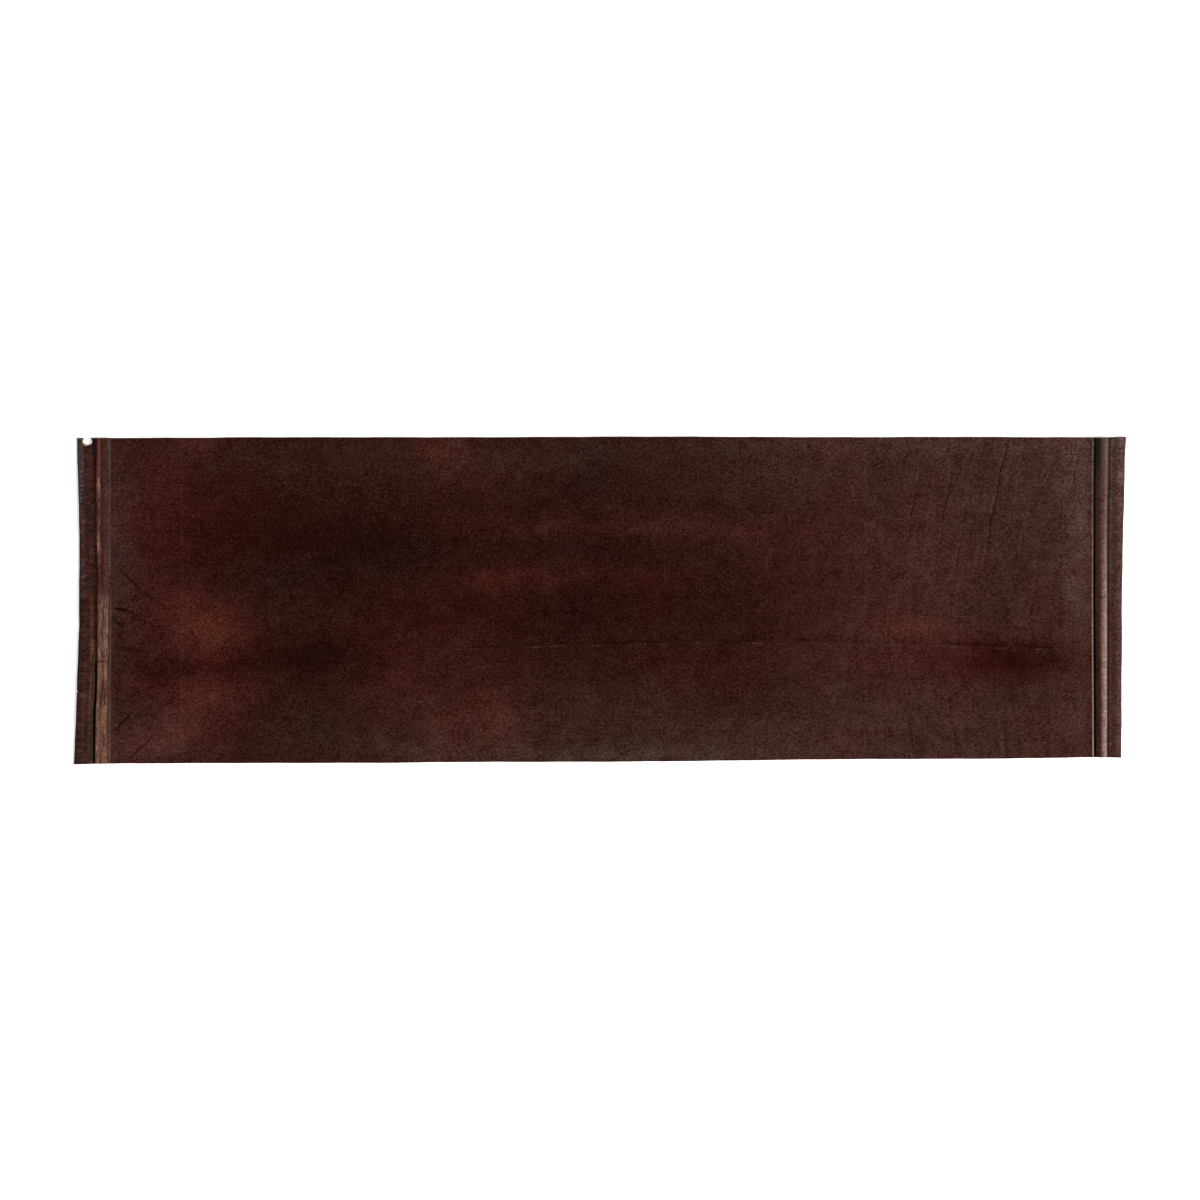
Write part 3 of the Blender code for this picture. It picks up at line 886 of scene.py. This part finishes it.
class Folds:
    """The end folds' colour so far, and what it follows."""

    def __init__(self, s, colour, mottle):
        self.s, self.colour, self.mottle = s, colour, mottle
        self.tail, self.neck = s.attribute("tail_fold"), s.attribute("neck_fold")
        self.y = s.attribute("across")
        self.streaks = s.noise(0.0036, across=14.0, rough=0.9, seed=8.0)
        self.blots = s.noise(0.04, along=0.4, across=1.5, detail=4.0, rough=0.8, seed=9.0)
        self.ribs = s.noise(0.006, along=4.0, detail=1.0, rough=0.8, seed=22.0)
        self.near = s.rise(self.y, 0.025, -0.02)
        self.far = 1.0 - self.near

    def flecked(self, tint, share):
        """The tint, lighter and darker by this share of the mottling."""
        return self.s.shade(tint, 2.0 ** (share * self.mottle))

    def uneven(self, amount, **shares):
        """The amount, more and less by these shares of the streaks, blots and ribs."""
        parts = [share * getattr(self, name) for name, share in shares.items()]
        return amount * sum(parts, 1.0) if parts else amount

    def rub(self, amount, tint, **shares):
        """Mixes an uneven amount of the tint over the colour."""
        self.colour = self.s.mix(self.uneven(amount, **shares), self.colour, tint)


def tail_flap(f, colours):
    """The flap outside the tail roll: dusty and ribbed, tan beside the crease, and a painted ochre
    highlight on its edge at the crease.
    """
    s, tail, y = f.s, f.tail, f.y
    outer = 0.05 + 0.16 * s.rise(y, -0.05, 0.08) + 0.29 * s.rise(y, 0.12, 0.27)
    outer = s.band(tail, 0.02, 0.1, 0.26, 0.42) * outer
    flap = s.band(tail, 0.0, 0.06, 0.86, 1.02) * 0.06
    f.rub(flap + outer, f.flecked(colours.dusty, 1.4), streaks=2.8, blots=1.5)
    brownish = 0.45 * s.band(tail, 0.1, 0.45, 0.9, 1.0)
    f.rub(brownish, f.flecked(FLAP_BROWN, 1.4), blots=1.5)
    tan = s.band(tail, 0.62, 0.72, 0.8, 0.87) * s.rise(f.blots, -0.14, 0.12)
    tan = tan * (0.34 * f.near + 0.16 * f.far)
    tan = tan + s.band(tail, 0.66, 0.74, 0.86, 0.94) * s.band(y, -0.116, -0.1, -0.085, -0.07) * 0.22
    f.rub(tan, FLAP_TAN, streaks=3.0)
    # a painted highlight on the flap's raised edge at the crease, on the near half, where it faces the key
    # light
    crease_edge_highlight = s.band(tail, 0.86, 0.9, 0.93, 0.96) * s.rise(y, -0.085, -0.12) * 0.34
    f.rub(crease_edge_highlight, CREASE_EDGE_HIGHLIGHT, blots=2.0)
    ribbed = s.band(tail, 0.0, 0.06, 0.9, 1.0) + 0.7 * s.band(tail, 2.04, 2.1, 2.5, 3.2)
    f.colour = s.shade(f.colour, 1.0 + 1.8 * ribbed * f.ribs)


def tail_roll(f, colours):
    """The tail roll: rubbed pale near the hide's near side, in worn clusters on its far side, with a
    painted glint and a band of painted shade by its foot on the far side.
    """
    s, tail, y = f.s, f.tail, f.y
    golden = s.mix(s.rise(f.blots, -0.1, 0.18), colours.worn, GOLDEN)
    crest = s.band(tail, 1.07, 1.13, 1.17, 1.3)
    shoulder = s.band(tail, 1.4, 1.52, 1.66, 1.76)
    plateau = s.band(tail, 1.06, 1.12, 1.72, 1.84)
    cut = s.band(y, -0.1195, -0.117, -0.1165, -0.115)
    first, second = s.band(y, 0.206, 0.214, 0.228, 0.238), s.band(y, 0.086, 0.096, 0.122, 0.132)
    between = 0.06 + 0.14 * s.band(y, 0.06, 0.1, 0.215, 0.24) + 0.2 * f.blots
    clusters = f.uneven(0.05 * first + 0.13 * second + between, streaks=4.0, blots=2.0)
    clusters = clusters * s.band(tail, 1.05, 1.12, 1.22, 1.38)
    far_wear = f.far * (0.02 * plateau + 0.04 * shoulder + clusters)
    level = 0.24 - 0.08 * s.rise(y, -0.115, -0.1165) + 0.09 * crest + 0.12 * shoulder - 0.14 * cut
    level = level + 0.05 * s.rise(y, -0.19, -0.26) + 0.1 * s.band(y, -0.116, -0.112, -0.1, -0.08)
    grime = s.noise(0.014, along=0.5, across=2.2, rough=0.8, seed=23.0)
    wear = (far_wear + plateau * f.near * level) * (1.0 + 6.0 * f.streaks + 2.0 * f.blots + 2.6 * grime)
    f.rub(wear, f.flecked(golden, 0.7))
    foot = s.band(tail, 1.88, 1.92, 1.96, 2.01) * 0.12 * f.near
    f.rub(foot, FOOT_TAN, blots=3.0)
    pink = s.band(tail, 1.18, 1.24, 1.3, 1.38) * s.rise(y, 0.225, 0.25) * (0.2 + 0.4 * f.blots)
    f.rub(pink, CREST_PINK)
    # a painted highlight, a thin glint on the far end of the tail roll's foot
    painted_glint = s.band(tail, 1.8, 1.84, 1.87, 1.9) * s.rise(y, 0.22, 0.26) * 0.16
    f.rub(painted_glint, FOOT_PAINTED_GLINT, blots=2.0)
    # painted shade: a dark slate band across the tail roll's foot on the far half
    slate_shade = s.band(tail, 1.8, 1.86, 1.93, 1.98) * s.rise(y, 0.04, 0.07) * 0.55
    f.rub(slate_shade, FOOT_SLATE_SHADE, blots=2.0)
    olive = f.near * (0.42 - 0.26 * s.band(y, -0.105, -0.085, -0.035, -0.015))
    olive = s.band(tail, 1.75, 1.81, 1.87, 1.92) * olive
    f.rub(olive, FOOT_OLIVE, streaks=2.0)


def neck_folds(f, colours):
    """The neck's lip, roll and flap: rubbed pale, with painted highlights on the lip and on the roll's lit
    side, more so near the hide's near side, and painted light and shade on the roll's shaded side.
    """
    s, neck, y = f.s, f.neck, f.y
    rubbed_and_lit = f.flecked(colours.rubbed_and_lit, 0.7)
    # the roll's crest: rubbed pale, with a painted highlight on its side facing the key light, stronger on
    # the near side
    crest = s.band(neck, 1.38, 1.62, 1.88, 1.96) * (0.09 + 0.42 * s.rise(y, 0.26, -0.16))
    f.rub(crest, rubbed_and_lit, streaks=2.2, blots=1.2, ribs=1.8)
    # painted fill light: a lighter red on the roll's side that faces away from the key light
    painted_fill = s.band(neck, 1.02, 1.12, 1.4, 1.64) * 0.14
    f.rub(painted_fill, NECK_FILL_RED, streaks=2.0, blots=2.0, ribs=2.0)
    # painted shade with a painted cool reflection: dark teal on the roll's unlit side at the far end
    teal_shade = s.band(neck, 1.0, 1.06, 1.32, 1.5) * s.rise(y, 0.2, 0.27) * 0.75
    f.rub(teal_shade, NECK_TEAL_SHADE)
    # tan-grey on the roll's crest at the far end: its rubbed pale and painted highlight, weaker and greyer
    # there
    far_crest_wear_and_highlight = s.band(neck, 1.36, 1.5, 1.84, 1.94) * s.rise(y, 0.23, 0.29) * 0.4
    f.rub(far_crest_wear_and_highlight, NECK_FAR_CREST_WEAR_AND_HIGHLIGHT, blots=1.5)
    # the lip before the crease: rubbed pale, with a painted highlight where its edge faces the key light
    lip_wear_and_highlight = s.band(neck, 0.855, 0.885, 0.915, 0.945) * (0.06 + 0.7 * s.rise(y, 0.25, -0.3))
    f.rub(lip_wear_and_highlight, rubbed_and_lit, blots=2.0)
    flap = 0.3 * s.band(neck, 2.03, 2.07, 2.14, 2.24) + 0.08 + 0.3 * s.band(neck, 2.34, 2.6, 2.82, 2.97)
    flap = flap * s.band(neck, 2.03, 2.07, 2.95, 3.0) * (1.0 + 0.7 * s.rise(y, 0.15, 0.28))
    f.rub(flap, f.flecked(NECK_TAN, 1.4), streaks=2.0, blots=1.5, ribs=2.0)


def shade_grooves(f):
    """Painted shade in the grooves beside the rolls, in the crease at the tail roll's foot, and in the gap
    before the neck's flap.
    """
    s, tail, neck, y = f.s, f.tail, f.neck, f.y
    groove = 0.8 * s.rise(y, -0.112, -0.145) + 0.22
    tail_groove_shade = s.band(tail, 0.955, 0.985, 1.01, 1.07) * groove * f.near
    tail_groove_shade = tail_groove_shade + 0.46 * s.band(tail, 0.9, 0.96, 1.1, 1.21) * s.rise(y, 0.235, 0.275)
    neck_groove_shade = s.band(neck, 0.935, 0.955, 1.0, 1.03) * (0.92 - 0.4 * s.rise(y, 0.25, 0.285))
    gap_shade = s.band(neck, 1.93, 1.97, 2.03, 2.08) * 0.85
    # painted shade in the crease at the tail roll's foot
    foot = 0.2 * s.band(tail, 1.98, 2.04, 2.06, 2.16)
    foot = foot + 0.3 * s.band(tail, 1.93, 1.98, 2.03, 2.08) * f.far
    f.colour = s.shade(f.colour, 1.0 - (tail_groove_shade + neck_groove_shade + gap_shade + foot))


def leather(sizes, colours):
    """The whole hide's finish: polished grain, worn folds with painted highlights and painted shade, raw
    edges and the suede flesh side.
    """
    s = Shader(bpy.data.materials.new("worn_leather"))
    x, y = s.attribute("along"), s.attribute("across")
    mottle = mottling(s)
    skin = neck_skin(s)
    colour = panel_colour(s, colours, mottle + 0.7 * skin)
    colour = back_line(s, colour)
    folds = Folds(s, colour, mottle)
    tail_flap(folds, colours)
    tail_roll(folds, colours)
    neck_folds(folds, colours)
    shade_grooves(folds)
    colour = neck_lines(s, folds.colour)
    height = 0.0006 * skin
    shaky_x, shaky_y = x + 0.005 * s.noise(0.018, seed=24.0), y + 0.005 * s.noise(0.018, seed=25.0)
    darker = 0.0
    for *place, depth, dark in CREASES:
        line = stroke(s, shaky_x, shaky_y, place)
        height = height - depth / 1000 * line
        darker = darker + dark * line
    cool = 1.0 - 1.2 * darker
    colour = s.shade(colour, (1.0 - darker, cool, cool))
    colour = torn_rim(s, x, y, colour, colours)

    fibres = s.noise(0.0016, up=0.4, rough=0.8, seed=11.0)
    rim, side = s.attribute("rim"), s.attribute("off_back")
    # The raw cut edges, stronger on the near side: raw colour, and painted light on the near cut face,
    # which faces the key light.
    raw = s.rise(rim + 0.0006 * fibres, 0.001, 0.0002)
    colour = s.mix(raw * (0.35 + 0.4 * s.rise(side, 0.1, -0.1)), colour, colours.raw)
    flesh = s.rise(s.attribute("flesh"), 0.4, 0.6)
    colour = s.mix(flesh, colour, s.shade(colours.flesh, 1.0 + 1.3 * fibres))

    pebbles = s.cells(sizes.grain, along=1.2)
    lumps = s.noise(0.012, along=1.2, rough=0.8, seed=14.0)
    height = height - sizes.grain_height * pebbles + 0.0014 * lumps
    normal = s.node("ShaderNodeBump", {}, {"Height": height, "Distance": 1.0, "Strength": 1.0})

    dull = 0.4 * raw + 0.45 * flesh + 0.3 * s.band(s.attribute("tail_fold"), 1.7, 1.9, 2.2, 2.4)
    roughness = sizes.roughness + 0.25 * s.noise(0.02, seed=15.0) + 0.12 * pebbles + dull
    s.finish({"Base Color": colour, "Roughness": roughness, "Normal": normal})
    s.finish({"Specular IOR Level": SPECULAR, "Metallic": 0.0})
    return s.owner


# ---- Operators


class HIDE_OT_lay_hide(bpy.types.Operator):
    """Lay out the hide in its folds, with its torn corner and worn finish"""

    bl_idname = "hide.lay_hide"
    bl_label = "Lay out the hide"

    def execute(self, context):
        sizes, colours = context.scene.hide_sizes, context.scene.hide_colours
        piece = added("hide_sheet", sheet_mesh(sizes.thickness))
        raise_folds(piece.data, sizes.thickness)
        tear_hole(piece)
        mark_surface(piece.data, sizes.thickness)
        piece.data.shade_smooth()
        piece.data.set_sharp_from_angle(angle=SHARP_ANGLE)
        piece.data.materials.clear()
        piece.data.materials.append(leather(sizes, colours))
        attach(piece, "root")
        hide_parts(NODE)
        return {"FINISHED"}


class HIDE_OT_stage(bpy.types.Operator):
    """Set up the floor, the studio lights and the camera above the hide"""

    bl_idname = "hide.stage"
    bl_label = "Set up the studio"

    def execute(self, context):
        sizes = context.scene.hide_stage
        self.floor(sizes)
        self.lights(sizes)
        self.camera(context.scene, sizes)
        context.scene.view_settings.view_transform = "Standard"
        return {"FINISHED"}

    def floor(self, sizes):
        bm = bmesh.new()
        bmesh.ops.create_grid(bm, x_segments=1, y_segments=1, size=sizes.floor_side / 2)
        bmesh.ops.translate(bm, verts=bm.verts[:], vec=(0.0, 0.0, -FLOOR_DROP))
        floor = added("floor", finished_mesh(bm, "floor"))
        s = Shader(bpy.data.materials.new("pale_floor"))
        s.finish({"Base Color": sizes.floor_colour, "Roughness": 0.9, "Specular IOR Level": 0.0})
        s.finish({"Emission Color": sizes.floor_colour, "Emission Strength": sizes.floor_glow})
        floor.data.materials.append(s.owner)

    def lights(self, sizes):
        light = bpy.data.lights.new("key", "SUN")
        light.energy = sizes.key_power
        light.angle = sizes.key_width
        light.color = KEY_COLOUR
        lamp = added("key", light)
        lamp.rotation_euler = Vector(KEY_FROM).to_track_quat("Z", "Y").to_euler()
        world = bpy.data.worlds.new("studio")
        s = Shader(world, "Background", "Generated")
        up = s.node("ShaderNodeSeparateXYZ", {}, {0: s.place}, "Z")
        ends = {"From Min": SKY_LOW, "From Max": SKY_HIGH, "To Min": sizes.horizon, "To Max": sizes.zenith}
        fade = s.node("ShaderNodeMapRange", {}, {"Value": up} | ends)
        s.finish({"Color": (1.0, 1.0, 1.0), "Strength": fade})
        bpy.context.scene.world = world

    def camera(self, scene, sizes):
        camera = bpy.data.cameras.new("overhead")
        camera.lens = sizes.camera_lens
        camera.clip_end = 100.0
        scene.camera = added("overhead", camera)
        scene.camera.location = (CAMERA_X, 0.0, sizes.camera_height)


class HIDE_PT_panel(bpy.types.Panel):
    bl_label = "Leather hide"
    bl_idname = "HIDE_PT_panel"
    bl_space_type = "VIEW_3D"
    bl_region_type = "UI"
    bl_category = "Hide"

    def draw(self, context):
        for name in ("hide_sizes", "hide_colours", "hide_stage"):
            group = getattr(context.scene, name)
            for key in group.__annotations__:
                self.layout.prop(group, key)
        for operator in OPERATORS:
            self.layout.operator(operator.bl_idname)


OPERATORS = (HIDE_OT_lay_hide, HIDE_OT_stage)
CLASSES = (HideSizes, HideColours, StageSizes, *OPERATORS, HIDE_PT_panel)


def register():
    for item in CLASSES:
        bpy.utils.register_class(item)
    bpy.types.Scene.hide_sizes = PointerProperty(type=HideSizes)
    bpy.types.Scene.hide_colours = PointerProperty(type=HideColours)
    bpy.types.Scene.hide_stage = PointerProperty(type=StageSizes)


def unregister():
    del bpy.types.Scene.hide_sizes
    del bpy.types.Scene.hide_colours
    del bpy.types.Scene.hide_stage
    for item in reversed(CLASSES):
        bpy.utils.unregister_class(item)


def main():
    register()
    bpy.ops.hide.lay_hide()
    bpy.ops.hide.stage()


if __name__ == "__main__":
    main()
